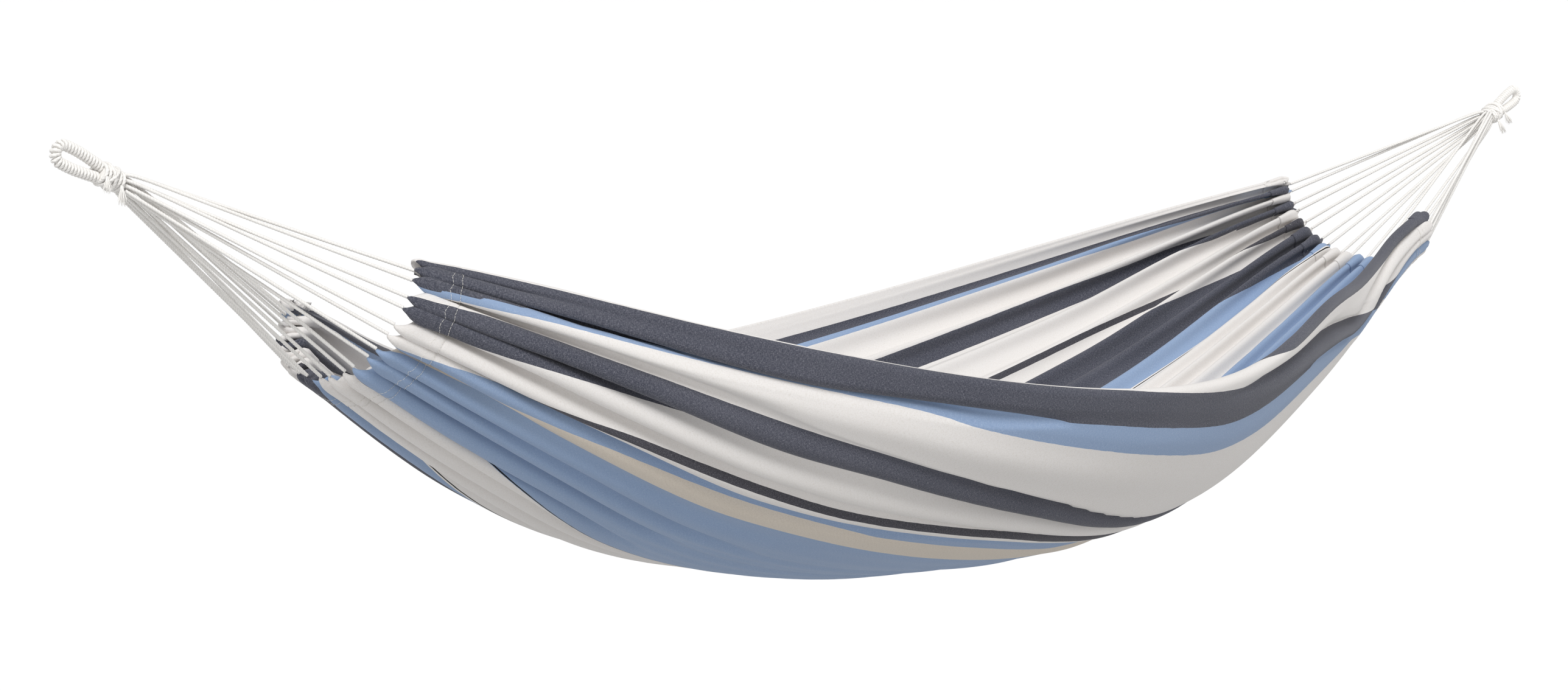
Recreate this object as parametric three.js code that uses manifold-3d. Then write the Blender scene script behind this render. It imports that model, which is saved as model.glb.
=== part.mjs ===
// A striped cotton hammock. One cloth bed hangs between two fans of cord, and every fan is
// gathered into a whipped neck and a served eye loop that drops over a hook.
// Millimetres, +Z up, +X from the left eye to the right eye, -Y to the front rim.
// The origin is the hook seat inside the left eye.
import * as THREE from 'three';
import { mergeVertices } from 'three/addons/utils/BufferGeometryUtils.js';
import Module from 'manifold-3d';

// ---- Driving dimensions ----
const SPAN = 2936; // hook seat to hook seat
const CORD_DIAMETER = 4.8;
const CORDS_PER_FAN = 20;
const FAN_LENGTH = 364; // centre of the neck's end to the hem, the same for every cord
const NECK_REACH = 80; // hook seat to the neck's end, along X
const NECK_DROP = 36.9; // hook seat to the neck's end, down
const GAP = 0.3; // between pieces that touch

// The hem is drawn into a deep curve seen along X. Heights are below the neck's end.
const LEFT_HEM = { halfWidth: 131, rimDrop: 140, depth: 107, curl: 1.176, twist: -15.2, shift: 1 };
const RIGHT_HEM = { halfWidth: 145, rimDrop: 126, depth: 102, curl: 1.073, twist: 10.4, shift: 9 };
// The middle of the bed, measured from the line between the hook seats.
const MIDDLE = { halfWidth: 582, rimDrop: 361, depth: 272, curlFront: 0.893, curlBack: 0.872 };
const MIDDLE_TILT = -1.5; // degrees about X
const MIDDLE_SHIFT = 13; // hangs the bed's weight straight below the swing axis
const WIDEST_AT = 0.445; // share of the length where the bed is widest and deepest
// How full the bed is along its length: at the centre line, and what the rims add.
const WIDTH_FULLNESS = { centre: 1.572, rim: 0.288 };
const SAG_FULLNESS = { centre: 1.358, rim: 0.447 };
const HEM_SLOPE = 0.12; // keeps a slope where the cloth leaves the hem
// Towards the right end the front rim is taut, stands a little high and has a belly below it.
const FRONT_TAUT = 0.65;
const RIM_LIFT = { height: 35, at: 0.68, spread: 0.12 };
const BELLY = { depth: 14, at: 0.56, spread: 0.12, across: -0.5, width: 0.25 };

// Cloth solid
const CLOTH_HALF = 1.5; // half thickness of the sheet
const CLOTH_LENGTH = 2400; // hem to hem along the cloth
const HEM_DEPTH = 62; // hem edge to the stitch row
const HEM_HALF = 5.2; // half thickness round the hem cord
const CHANNEL_HALF = 3.4;
const HEM_CORD_AT = 9; // hem edge to the middle of the hem cord
const THREAD_RADIUS = 0.6;
const STATIONS_ACROSS = 24;
const STATIONS_ALONG = 26;
const NOSE_STEPS = 4;

// Eye loop, in its own plane: `along` runs from the hook seat to the neck's end
const EYE_TUBE = 14.6; // over the serving
const SERVING_WALL = 2.5;
const LOOP_HALF = 10.9; // loop axis to the tube's centre line at the widest place
const SERVING_ENDS_AT = 51;
const NECK_STARTS_AT = 56;
const NECK_HALF_HEIGHT = 10;
const NECK_HALF_WIDTH = 13.5;
const WHIPPING_WALL = 2.5;

// Steps and sides of the round pieces
const CORD_SIDES = 8;
const LOOP_STEPS = 24;
const SERVING_SIDES = 10;
const NECK_SIDES = 20;

const COTTON = { color: 0xe8e6e2, roughness: 0.9, metalness: 0 };
const STRIPED = { color: 0xc9d0da, roughness: 0.92, metalness: 0 };
const THREAD = { color: 0xf2f0ea, roughness: 0.8, metalness: 0 };

const wasm = await Module();
wasm.setup();

const radians = THREE.MathUtils.degToRad;
const hammock = new THREE.Group();

function addPiece(name, geometry, look) {
  const mesh = new THREE.Mesh(geometry, new THREE.MeshStandardMaterial(look));
  mesh.name = name;
  hammock.add(mesh);
  return mesh;
}

// ---- Shape of the bed ----

// One curve across the bed: v runs from -1 at the front rim to 1 at the back rim.
function crossSection(v, halfWidth, rimDrop, depth, curl) {
  const rim = (Math.PI / 2) * curl;
  const y = (halfWidth * Math.sin(v * rim)) / Math.sin(Math.min(rim, Math.PI / 2));
  const lift = (Math.cos(v * rim) - Math.cos(rim)) / (1 - Math.cos(rim));
  return [y, -rimDrop - depth * lift];
}

function turnAboutX([y, z], degrees) {
  const angle = radians(degrees);
  return [y * Math.cos(angle) - z * Math.sin(angle), y * Math.sin(angle) + z * Math.cos(angle)];
}

// Every fan cord is equally long, so the hem lies on a sphere round the neck's end.
function hemPoint(v, hem) {
  const [flatY, flatZ] = crossSection(v, hem.halfWidth, hem.rimDrop, hem.depth, hem.curl);
  const [y, z] = turnAboutX([flatY + hem.shift, flatZ], hem.twist);
  const reach = Math.sqrt(FAN_LENGTH ** 2 - y ** 2 - z ** 2);
  return new THREE.Vector3(NECK_REACH + reach, y, z - NECK_DROP);
}

function leftHem(v) {
  return hemPoint(v, LEFT_HEM);
}

function rightHem(v) {
  const point = hemPoint(v, RIGHT_HEM);
  point.x = SPAN - point.x;
  return point;
}

function middlePoint(v) {
  const blend = 0.5 + 0.5 * Math.tanh(3 * v);
  const curl = MIDDLE.curlFront + (MIDDLE.curlBack - MIDDLE.curlFront) * blend;
  const section = crossSection(v, MIDDLE.halfWidth, 0, MIDDLE.depth, curl);
  const [y, z] = turnAboutX(section, MIDDLE_TILT);
  return [y + MIDDLE_SHIFT, z - MIDDLE.rimDrop];
}

function hump(x, centre, spread) {
  return Math.exp(-(((x - centre) / spread) ** 2));
}

function swell(bump, power) {
  const low = HEM_SLOPE ** power;
  return ((bump + HEM_SLOPE) ** power - low) / ((1 + HEM_SLOPE) ** power - low);
}

// The bed's middle surface: u runs from 0 at the left hem to 1 at the right hem.
function bedPoint(u, v) {
  const left = leftHem(v);
  const right = rightHem(v);
  const [middleY, middleZ] = middlePoint(v);
  const skewed = u ** (Math.log(0.5) / Math.log(WIDEST_AT));
  const bump = 4 * skewed * (1 - skewed);
  const wide = swell(bump, WIDTH_FULLNESS.centre + WIDTH_FULLNESS.rim * v * v);
  const { smoothstep } = THREE.MathUtils;
  const taut = FRONT_TAUT * smoothstep(u, 0.45, 0.9) * smoothstep(-v, 0.1, 0.95);
  const deep = swell(bump, SAG_FULLNESS.centre + SAG_FULLNESS.rim * v * v - taut);
  const point = left.clone().lerp(right, u);
  point.y += (middleY - (left.y + right.y) / 2) * wide;
  point.z += (middleZ - (left.z + right.z) / 2) * deep;
  const rimLift = RIM_LIFT.height * hump(u, RIM_LIFT.at, RIM_LIFT.spread);
  const belly = BELLY.depth * hump(u, BELLY.at, BELLY.spread) * hump(v, BELLY.across, BELLY.width);
  point.y -= 0.6 * belly;
  point.z += rimLift * smoothstep(-v, 0.5, 1) - 0.8 * belly;
  return point;
}

// Unit normal that points out of the bed, away from whoever lies in it.
function bedNormal(u, v) {
  const step = 0.002;
  const low = THREE.MathUtils.clamp(u, step, 1 - step);
  const inner = THREE.MathUtils.clamp(v, -1 + step, 1 - step);
  const along = bedPoint(low + step, inner).sub(bedPoint(low - step, inner));
  const across = bedPoint(low, inner + step).sub(bedPoint(low, inner - step));
  return across.cross(along).normalize();
}

function bedOffset(distance, height, v) {
  const u = distance / CLOTH_LENGTH;
  return bedPoint(u, v).addScaledVector(bedNormal(u, v), height);
}

// ---- Bed cloth: one profile along the length, with two channels, swept across the width ----

// Half the thickness of the sheet at a distance from the nearer hem edge.
function halfThickness(fromEdge) {
  if (fromEdge >= HEM_DEPTH) return CLOTH_HALF;
  const fade = THREE.MathUtils.smoothstep(fromEdge, HEM_CORD_AT, 0.6 * HEM_DEPTH);
  return THREE.MathUtils.lerp(HEM_HALF, 1.6 * CLOTH_HALF, fade);
}

function clothProfile() {
  const nose = [];
  for (let i = 0; i <= NOSE_STEPS; i++) {
    const angle = Math.PI / 2 + (Math.PI * i) / NOSE_STEPS;
    nose.push([HEM_HALF + HEM_HALF * Math.cos(angle), HEM_HALF * Math.sin(angle)]);
  }
  const hemSteps = [15, 26, 40, HEM_DEPTH];
  const run = [...hemSteps];
  const bare = CLOTH_LENGTH - 2 * HEM_DEPTH;
  for (let i = 1; i < STATIONS_ALONG; i++) run.push(HEM_DEPTH + (bare * i) / STATIONS_ALONG);
  for (const step of [...hemSteps].reverse()) run.push(CLOTH_LENGTH - step);
  const half = (x) => halfThickness(Math.min(x, CLOTH_LENGTH - x));
  const below = run.map((x) => [x, -half(x)]);
  const above = run.map((x) => [x, half(x)]).reverse();
  const farNose = nose.map(([x, y]) => [CLOTH_LENGTH - x, -y]);
  return [...nose, ...below, ...farNose, ...above];
}

function channelProfile(centre) {
  const ring = [];
  for (let i = 0; i < 8; i++) {
    const angle = -(Math.PI * 2 * i) / 8;
    ring.push([centre + 1.25 * CHANNEL_HALF * Math.cos(angle), CHANNEL_HALF * Math.sin(angle)]);
  }
  return ring;
}

// Triangles that close the sheet at a rim. They are made in short cells between neighbouring
// stations, because the rim is curved and a long triangle would cut across the curve.
function rimFaces(outline, channels) {
  const count = outline.length;
  const nose = NOSE_STEPS + 1;
  const stations = count / 2 - nose;
  const below = (i) => nose + i;
  const above = (i) => count - 1 - i;
  const nearEnd = [...Array(nose).keys(), below(0), above(0)];
  const farEnd = [below(stations - 1)];
  for (let i = 0; i < nose; i++) farEnd.push(nose + stations + i);
  farEnd.push(above(stations - 1));
  const cells = [[nearEnd, 0], [farEnd, 1]];
  for (let i = 0; i + 1 < stations; i++) {
    cells.push([[below(i), below(i + 1), above(i + 1), above(i)], -1]);
  }
  const toVector = (loop) => loop.map(([x, y]) => new THREE.Vector2(x, y));
  const triangles = [];
  for (const [cell, hole] of cells) {
    const border = toVector(cell.map((i) => outline[i]));
    const holes = hole < 0 ? [] : [toVector(channels[hole])];
    const ids = [...cell];
    if (hole >= 0) {
      const start = count + hole * channels[0].length;
      for (let i = 0; i < channels[hole].length; i++) ids.push(start + i);
    }
    for (const face of THREE.ShapeUtils.triangulateShape(border, holes)) {
      triangles.push(face.map((i) => ids[i]));
    }
  }
  return triangles;
}

function clothGeometry() {
  const outline = clothProfile();
  const channels = [channelProfile(HEM_CORD_AT), channelProfile(CLOTH_LENGTH - HEM_CORD_AT)];
  const loops = [outline, ...channels];
  const flat = loops.flat();
  const positions = [];
  for (let j = 0; j <= STATIONS_ACROSS; j++) {
    const v = -1 + (2 * j) / STATIONS_ACROSS;
    for (const [distance, height] of flat) {
      positions.push(...bedOffset(distance, height, v).toArray());
    }
  }
  const faces = [];
  const stride = flat.length;
  let first = 0;
  for (const loop of loops) {
    for (let i = 0; i < loop.length; i++) {
      const next = (i + 1) % loop.length;
      const forward = loop[next][0] >= loop[i][0];
      for (let j = 0; j < STATIONS_ACROSS; j++) {
        const a = j * stride + first + i;
        const b = j * stride + first + next;
        // Both walls of the sheet are split along the same diagonal, so they stay parallel.
        if (forward) faces.push(a, b, b + stride, a, b + stride, a + stride);
        else faces.push(a, b, a + stride, b, b + stride, a + stride);
      }
    }
    first += loop.length;
  }
  const last = STATIONS_ACROSS * stride;
  for (const [a, b, c] of rimFaces(outline, channels)) {
    faces.push(c, b, a);
    faces.push(last + a, last + b, last + c);
  }
  const geometry = new THREE.BufferGeometry();
  geometry.setAttribute('position', new THREE.Float32BufferAttribute(positions, 3));
  geometry.setIndex(faces);
  geometry.computeVertexNormals();
  return geometry;
}

// ---- Cords ----

function circleShape(radius, sides, hole = 0) {
  const ring = (size) => {
    const points = [];
    for (let i = 0; i < sides; i++) {
      const angle = (2 * Math.PI * i) / sides;
      points.push(new THREE.Vector2(size * Math.cos(angle), size * Math.sin(angle)));
    }
    return points;
  };
  const shape = new THREE.Shape(ring(radius));
  if (hole > 0) shape.holes.push(new THREE.Path(ring(hole)));
  return shape;
}

function tubeAlong(curve, shape, steps) {
  return new THREE.ExtrudeGeometry(shape, { extrudePath: curve, steps, curveSegments: 1 });
}

// Fan cords leave the neck as a block of columns and rows. Two columns on either side feed
// the sides of the hem from the top row down, and the middle column feeds the bottom of the
// hem. Of each two cords that share a row, the one bound further out takes the outer column,
// so that no cord has to cross another.
const COLUMNS = 5;
const ROWS = CORDS_PER_FAN / COLUMNS;
const CORDS_PER_SIDE = 2 * ROWS;
const BUNDLE_PITCH_Y = 6.4;
const BUNDLE_PITCH_Z = 7.6; // the cords slope, so this is about 5.5 square to them
const NECK_CLEARANCE = 3; // cord ends stay off the neck's end as the bed swings

function sideways(index, hem) {
  const end = hemPoint(hemShare(index), hem);
  return end.y / (end.x - NECK_REACH);
}

function bundleCell(index, hem) {
  const partner = index % 2 === 0 ? index + 1 : index - 1;
  const mirrored = CORDS_PER_FAN - 1 - index;
  if (index < CORDS_PER_SIDE) {
    const outer = sideways(index, hem) < sideways(partner, hem);
    return [outer ? 0 : 1, Math.floor(index / 2)];
  }
  if (mirrored < CORDS_PER_SIDE) {
    const outer = sideways(index, hem) > sideways(partner, hem);
    return [outer ? COLUMNS - 1 : COLUMNS - 2, Math.floor(mirrored / 2)];
  }
  return [(COLUMNS - 1) / 2, index - CORDS_PER_SIDE];
}

function bundleOffset(index, hem) {
  const [column, row] = bundleCell(index, hem);
  const y = (column - (COLUMNS - 1) / 2) * BUNDLE_PITCH_Y;
  const z = ((ROWS - 1) / 2 - row) * BUNDLE_PITCH_Z;
  return [y, z];
}

// Cords reach the hem in pairs: the gap inside a pair is shorter than the gap between pairs.
function hemShare(index) {
  const pitch = 2 / CORDS_PER_FAN;
  const pairShift = (index % 2 === 0 ? 0.12 : -0.12) * pitch;
  return -1 + pitch * (index + 0.5) + pairShift;
}

function fanCord(index, side) {
  const hem = side === 'left' ? LEFT_HEM : RIGHT_HEM;
  const [y, z] = bundleOffset(index, hem);
  const end = hemPoint(hemShare(index), hem);
  const start = new THREE.Vector3(NECK_REACH + NECK_CLEARANCE, y, z - NECK_DROP);
  const direction = end.clone().sub(start).normalize();
  end.addScaledVector(direction, -(CORD_DIAMETER / 2 + GAP));
  if (side === 'right') {
    start.x = SPAN - start.x;
    end.x = SPAN - end.x;
  }
  return tubeAlong(new THREE.LineCurve3(start, end), circleShape(CORD_DIAMETER / 2, CORD_SIDES), 1);
}

class HemLine extends THREE.Curve {
  constructor(distance, height, margin) {
    super();
    this.distance = distance;
    this.height = height;
    this.reach = 1 - margin;
  }

  getPoint(t, target = new THREE.Vector3()) {
    const v = THREE.MathUtils.lerp(-this.reach, this.reach, t);
    return target.copy(bedOffset(this.distance, this.height, v));
  }
}

function hemCord(distance) {
  const shape = circleShape(CORD_DIAMETER / 2, CORD_SIDES);
  return tubeAlong(new HemLine(distance, 0, 0.004), shape, STATIONS_ACROSS);
}

function hemStitching(distance) {
  const height = halfThickness(HEM_DEPTH) + 2 * GAP + THREAD_RADIUS;
  return tubeAlong(new HemLine(distance, height, 0.01), circleShape(THREAD_RADIUS, 6), STATIONS_ACROSS);
}

// ---- Eye loops ----

function eyeAxes() {
  const angle = Math.atan2(NECK_DROP, NECK_REACH);
  const along = new THREE.Vector3(Math.cos(angle), 0, -Math.sin(angle));
  const up = new THREE.Vector3(Math.sin(angle), 0, Math.cos(angle));
  return { along, up };
}

const { along: EYE_ALONG, up: EYE_UP } = eyeAxes();
const EYE_LENGTH = Math.hypot(NECK_REACH, NECK_DROP);

function eyePoint(along, up, y = 0) {
  const point = EYE_ALONG.clone().multiplyScalar(along).addScaledVector(EYE_UP, up);
  point.y = y;
  return point;
}

// Half of the loop's centre line, from the tip to the neck; the other half mirrors it.
function loopCurve(endsAt) {
  const tip = -EYE_TUBE / 2;
  const roundness = LOOP_HALF + tip;
  const half = [
    [tip, 0],
    [roundness - LOOP_HALF * Math.SQRT1_2, LOOP_HALF * Math.SQRT1_2],
    [roundness, LOOP_HALF],
    [17, 11.1],
    [30, 10.3],
    [42, 8.9],
    [SERVING_ENDS_AT, 7.8],
  ];
  if (endsAt > SERVING_ENDS_AT) half.push([NECK_STARTS_AT + 4, 5.2], [endsAt, 5]);
  const upper = half.slice(1).reverse();
  const points = upper.map(([a, b]) => eyePoint(a, b));
  points.push(eyePoint(...half[0]));
  for (const [a, b] of half.slice(1)) points.push(eyePoint(a, -b));
  return new THREE.CatmullRomCurve3(points, false, 'centripetal');
}

function toSolid(geometry) {
  const plain = geometry.clone();
  plain.deleteAttribute('normal');
  plain.deleteAttribute('uv');
  const merged = mergeVertices(plain, 1e-4);
  return new wasm.Manifold(
    new wasm.Mesh({
      numProp: 3,
      vertProperties: new Float32Array(merged.attributes.position.array),
      triVerts: new Uint32Array(merged.index.array),
    }),
  );
}

function fromSolid(solid) {
  const mesh = solid.getMesh();
  const geometry = new THREE.BufferGeometry();
  geometry.setAttribute('position', new THREE.BufferAttribute(mesh.vertProperties, 3));
  geometry.setIndex(new THREE.BufferAttribute(mesh.triVerts, 1));
  geometry.computeVertexNormals();
  return geometry;
}

// An oval bar or sleeve along the neck.
function neckBar(from, to, halfHeight, halfWidth, hole = null) {
  const oval = (height, width) => {
    const points = [];
    for (let i = 0; i < NECK_SIDES; i++) {
      const angle = (2 * Math.PI * i) / NECK_SIDES;
      points.push(new THREE.Vector2(width * Math.cos(angle), height * Math.sin(angle)));
    }
    return points;
  };
  const shape = new THREE.Shape(oval(halfHeight, halfWidth));
  if (hole) shape.holes.push(new THREE.Path(oval(hole.halfHeight, hole.halfWidth)));
  const geometry = new THREE.ExtrudeGeometry(shape, { depth: to - from, bevelEnabled: false });
  const side = EYE_UP.clone().cross(EYE_ALONG);
  const place = new THREE.Matrix4().makeBasis(side, EYE_UP, EYE_ALONG);
  place.setPosition(eyePoint(from, 0));
  return geometry.applyMatrix4(place);
}

// The neck ends in a face square to the swing axis, so the fan turns past it without touching.
function cutSquare(solid, reach) {
  const block = new THREE.BoxGeometry(100, 100, 100);
  block.translate(reach + 50, 0, -NECK_DROP);
  return solid.subtract(toSolid(block));
}

function eyeCore() {
  const radius = EYE_TUBE / 2 - SERVING_WALL - 2 * GAP;
  const shape = circleShape(radius, CORD_SIDES);
  const loop = toSolid(tubeAlong(loopCurve(NECK_STARTS_AT + 12), shape, LOOP_STEPS + 4));
  const from = NECK_STARTS_AT + 2;
  const gathered = neckBar(from, EYE_LENGTH + 20, NECK_HALF_HEIGHT, NECK_HALF_WIDTH);
  return fromSolid(cutSquare(loop.add(toSolid(gathered)), NECK_REACH));
}

function eyeServing() {
  const shape = circleShape(EYE_TUBE / 2, SERVING_SIDES, EYE_TUBE / 2 - SERVING_WALL);
  return tubeAlong(loopCurve(SERVING_ENDS_AT), shape, LOOP_STEPS);
}

function neckWhipping() {
  const hole = { halfHeight: NECK_HALF_HEIGHT + GAP, halfWidth: NECK_HALF_WIDTH + GAP };
  const height = hole.halfHeight + WHIPPING_WALL;
  const width = hole.halfWidth + WHIPPING_WALL;
  const sleeve = toSolid(neckBar(NECK_STARTS_AT + 3, EYE_LENGTH + 20, height, width, hole));
  return fromSolid(cutSquare(sleeve, NECK_REACH - 1));
}

// A frayed end of the winding cord: a short tuft that hangs from the neck's front.
function tassel(along, length) {
  const outside = NECK_HALF_WIDTH + WHIPPING_WALL + 2 * GAP;
  const top = eyePoint(along, -3, -outside - 2.6);
  const profile = [
    [0, 0],
    [2.2, 0.6],
    [2.4, 4],
    [3.6, 0.6 * length],
    [4.4, 0.92 * length],
    [3, length],
    [0, length],
  ].map(([r, h]) => new THREE.Vector2(r, -h));
  const geometry = new THREE.LatheGeometry(profile.reverse(), 8);
  geometry.scale(1, 1, 0.55);
  geometry.rotateX(Math.PI / 2);
  geometry.rotateY(radians(-18));
  return geometry.translate(top.x, top.y - 2, top.z);
}

function mirrorToRight(geometry) {
  const flipped = geometry.index ? geometry.toNonIndexed() : geometry.clone();
  flipped.deleteAttribute('normal');
  flipped.deleteAttribute('uv');
  const points = flipped.attributes.position;
  for (let i = 0; i < points.count; i++) points.setX(i, SPAN - points.getX(i));
  for (let i = 0; i < points.count; i += 3) {
    const [x, y, z] = [points.getX(i), points.getY(i), points.getZ(i)];
    points.setXYZ(i, points.getX(i + 1), points.getY(i + 1), points.getZ(i + 1));
    points.setXYZ(i + 1, x, y, z);
  }
  const merged = mergeVertices(flipped, 1e-5);
  merged.computeVertexNormals();
  return merged;
}

const EYE_PIECES = {
  eye_core: [eyeCore(), COTTON],
  eye_serving: [eyeServing(), COTTON],
  neck_whipping: [neckWhipping(), COTTON],
  tassel_upper: [tassel(NECK_STARTS_AT + 6, 24), COTTON],
  tassel_lower: [tassel(EYE_LENGTH - 8, 27), COTTON],
};

for (const [name, [geometry, look]] of Object.entries(EYE_PIECES)) {
  addPiece(`left_${name}`, geometry, look);
  addPiece(`right_${name}`, mirrorToRight(geometry), look);
}

addPiece('bed_cloth', clothGeometry(), STRIPED);
addPiece('left_hem_cord', hemCord(HEM_CORD_AT), COTTON);
addPiece('right_hem_cord', hemCord(CLOTH_LENGTH - HEM_CORD_AT), COTTON);
addPiece('left_hem_stitching', hemStitching(HEM_DEPTH + 2), THREAD);
addPiece('right_hem_stitching', hemStitching(CLOTH_LENGTH - HEM_DEPTH - 2), THREAD);

for (const side of ['left', 'right']) {
  for (let index = 0; index < CORDS_PER_FAN; index++) {
    const number = String(index + 1).padStart(2, '0');
    addPiece(`${side}_cord_${number}`, fanCord(index, side), COTTON);
  }
}

export default hammock;
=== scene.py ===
"""A striped cotton hammock: the looks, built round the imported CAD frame.

Metres, +Z up, +X from the left eye to the right eye, -Y to the front rim. The origin is the
hook seat inside the left eye.
"""

import math

import bpy
import numpy as np
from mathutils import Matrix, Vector


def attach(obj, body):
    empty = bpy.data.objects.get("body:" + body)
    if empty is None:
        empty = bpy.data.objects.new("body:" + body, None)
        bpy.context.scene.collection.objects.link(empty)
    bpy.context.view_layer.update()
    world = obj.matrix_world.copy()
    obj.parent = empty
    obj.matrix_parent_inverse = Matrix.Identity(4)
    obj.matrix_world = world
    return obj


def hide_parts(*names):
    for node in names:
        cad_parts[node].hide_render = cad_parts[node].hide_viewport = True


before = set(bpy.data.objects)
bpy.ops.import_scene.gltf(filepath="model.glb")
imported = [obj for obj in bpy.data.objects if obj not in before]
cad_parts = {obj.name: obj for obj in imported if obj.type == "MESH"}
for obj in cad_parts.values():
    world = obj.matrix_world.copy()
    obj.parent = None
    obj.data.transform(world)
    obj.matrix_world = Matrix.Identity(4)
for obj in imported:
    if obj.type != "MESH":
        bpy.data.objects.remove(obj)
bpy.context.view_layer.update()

# ---------------------------------------------------------------- sizes shared with the CAD

SPAN = 2.936  # hook seat to hook seat
CORD_DIAMETER = 0.0048
CORDS_PER_FAN = 20
FAN_LENGTH = 0.364
NECK_REACH = 0.080
NECK_DROP = 0.0369
LEFT_HEM = dict(half_width=0.131, rim_drop=0.140, depth=0.107, curl=1.176, twist=-15.2, shift=0.001)
RIGHT_HEM = dict(half_width=0.145, rim_drop=0.126, depth=0.102, curl=1.073, twist=10.4, shift=0.009)
MIDDLE_HALF_WIDTH = 0.582
MIDDLE_RIM_DROP = 0.361
MIDDLE_DEPTH = 0.272
MIDDLE_CURL_FRONT = 0.893
MIDDLE_CURL_BACK = 0.872
MIDDLE_TILT = -1.5
MIDDLE_SHIFT = 0.013
WIDEST_AT = 0.445
HEM_SLOPE = 0.12
WIDTH_FULLNESS = dict(centre=1.572, rim=0.288)
SAG_FULLNESS = dict(centre=1.358, rim=0.447)
FRONT_TAUT = 0.65
RIM_LIFT = dict(height=0.035, at=0.68, spread=0.12)
BELLY = dict(depth=0.014, at=0.56, spread=0.12, across=-0.5, width=0.25)
BELLY_FORWARD = 0.6
BELLY_DOWN = 0.8
CLOTH_LENGTH = 2.400
HEM_DEPTH = 0.062
NECK_CLEARANCE = 0.003
BUNDLE_COLUMNS = 5
BUNDLE_PITCH_Y = 0.0064
BUNDLE_PITCH_Z = 0.0076
PAIR_SHIFT = 0.12  # the cords of a pair stand closer by this share of their pitch

SIDES = ("left", "right")
TAU = 2 * math.pi


# ---------------------------------------------------------------- the bed's surface, as in CAD


def cross_section(v, half_width, rim_drop, depth, curl):
    """One curve across the bed; v runs from -1 at the front rim to 1 at the back rim."""
    rim = (math.pi / 2) * curl
    y = half_width * np.sin(v * rim) / np.sin(np.minimum(rim, math.pi / 2))
    lift = (np.cos(v * rim) - np.cos(rim)) / (1 - np.cos(rim))
    return y, -rim_drop - depth * lift


def turn_about_x(y, z, degrees):
    """A section turned about the hammock's length."""
    angle = math.radians(degrees)
    turned_y = y * math.cos(angle) - z * math.sin(angle)
    turned_z = y * math.sin(angle) + z * math.cos(angle)
    return turned_y, turned_z


def hem_point(v, side):
    """The hem lies on a sphere round the neck's end, because every fan cord is equally long."""
    hem = LEFT_HEM if side == "left" else RIGHT_HEM
    y, z = cross_section(v, hem["half_width"], hem["rim_drop"], hem["depth"], hem["curl"])
    y, z = turn_about_x(y + hem["shift"], z, hem["twist"])
    x = NECK_REACH + np.sqrt(FAN_LENGTH**2 - y**2 - z**2)
    if side == "right":
        x = SPAN - x
    return np.stack([x, y, z - NECK_DROP], axis=-1)


def middle_point(v):
    """The widest section: how far across and how high a point of it lies."""
    blend = 0.5 + 0.5 * np.tanh(3 * v)
    curl = MIDDLE_CURL_FRONT + (MIDDLE_CURL_BACK - MIDDLE_CURL_FRONT) * blend
    y, z = cross_section(v, MIDDLE_HALF_WIDTH, 0, MIDDLE_DEPTH, curl)
    y, z = turn_about_x(y, z, MIDDLE_TILT)
    return y + MIDDLE_SHIFT, z - MIDDLE_RIM_DROP


def hump(x, centre, spread):
    """A smooth bump, 1 at its centre."""
    return np.exp(-(((x - centre) / spread) ** 2))


def swell(bump, power):
    """0 at the hems and 1 at the widest section; a higher power makes the ends slimmer."""
    low = HEM_SLOPE**power
    return ((bump + HEM_SLOPE) ** power - low) / ((1 + HEM_SLOPE) ** power - low)


def bed_point(u, v):
    """The bed's middle surface; u runs from 0 at the left hem to 1 at the right hem."""
    u, v = np.broadcast_arrays(np.asarray(u, float), np.asarray(v, float))
    left = hem_point(v, "left")
    right = hem_point(v, "right")
    middle_y, middle_z = middle_point(v)
    skewed = np.clip(u, 0, 1) ** (math.log(0.5) / math.log(WIDEST_AT))
    bump = 4 * skewed * (1 - skewed)
    wide = swell(bump, WIDTH_FULLNESS["centre"] + WIDTH_FULLNESS["rim"] * v * v)
    taut = FRONT_TAUT * smooth(u, 0.45, 0.9) * smooth(-v, 0.1, 0.95)
    deep = swell(bump, SAG_FULLNESS["centre"] + SAG_FULLNESS["rim"] * v * v - taut)
    point = left + (right - left) * u[..., None]
    point[..., 1] += (middle_y - (left[..., 1] + right[..., 1]) / 2) * wide
    point[..., 2] += (middle_z - (left[..., 2] + right[..., 2]) / 2) * deep
    rim_lift = RIM_LIFT["height"] * hump(u, RIM_LIFT["at"], RIM_LIFT["spread"])
    rim_lift = rim_lift * smooth(-v, 0.5, 1.0)
    belly = BELLY["depth"] * hump(u, BELLY["at"], BELLY["spread"])
    belly = belly * hump(v, BELLY["across"], BELLY["width"])
    point[..., 1] -= BELLY_FORWARD * belly
    point[..., 2] += rim_lift - BELLY_DOWN * belly
    return point


def unit(vectors):
    return vectors / np.linalg.norm(vectors, axis=-1, keepdims=True)


def bed_normal(u, v):
    """Unit normal that points out of the bed, away from whoever lies in it."""
    step = 0.002
    low = np.clip(u, step, 1 - step)
    inner = np.clip(v, -1 + step, 1 - step)
    along = bed_point(low + step, inner) - bed_point(low - step, inner)
    across = bed_point(low, inner + step) - bed_point(low, inner - step)
    return unit(np.cross(across, along))


def hem_share(index):
    """Where cord number index meets the hem, from -1 to 1: the cords come in pairs."""
    pitch = 2 / CORDS_PER_FAN
    pair_shift = (PAIR_SHIFT if index % 2 == 0 else -PAIR_SHIFT) * pitch
    return -1 + pitch * (index + 0.5) + pair_shift


def smooth(x, low, high):
    """Runs softly from 0 at low to 1 at high."""
    t = np.clip((x - low) / (high - low), 0, 1)
    return t * t * (3 - 2 * t)


# ---------------------------------------------------------------- camera

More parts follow.
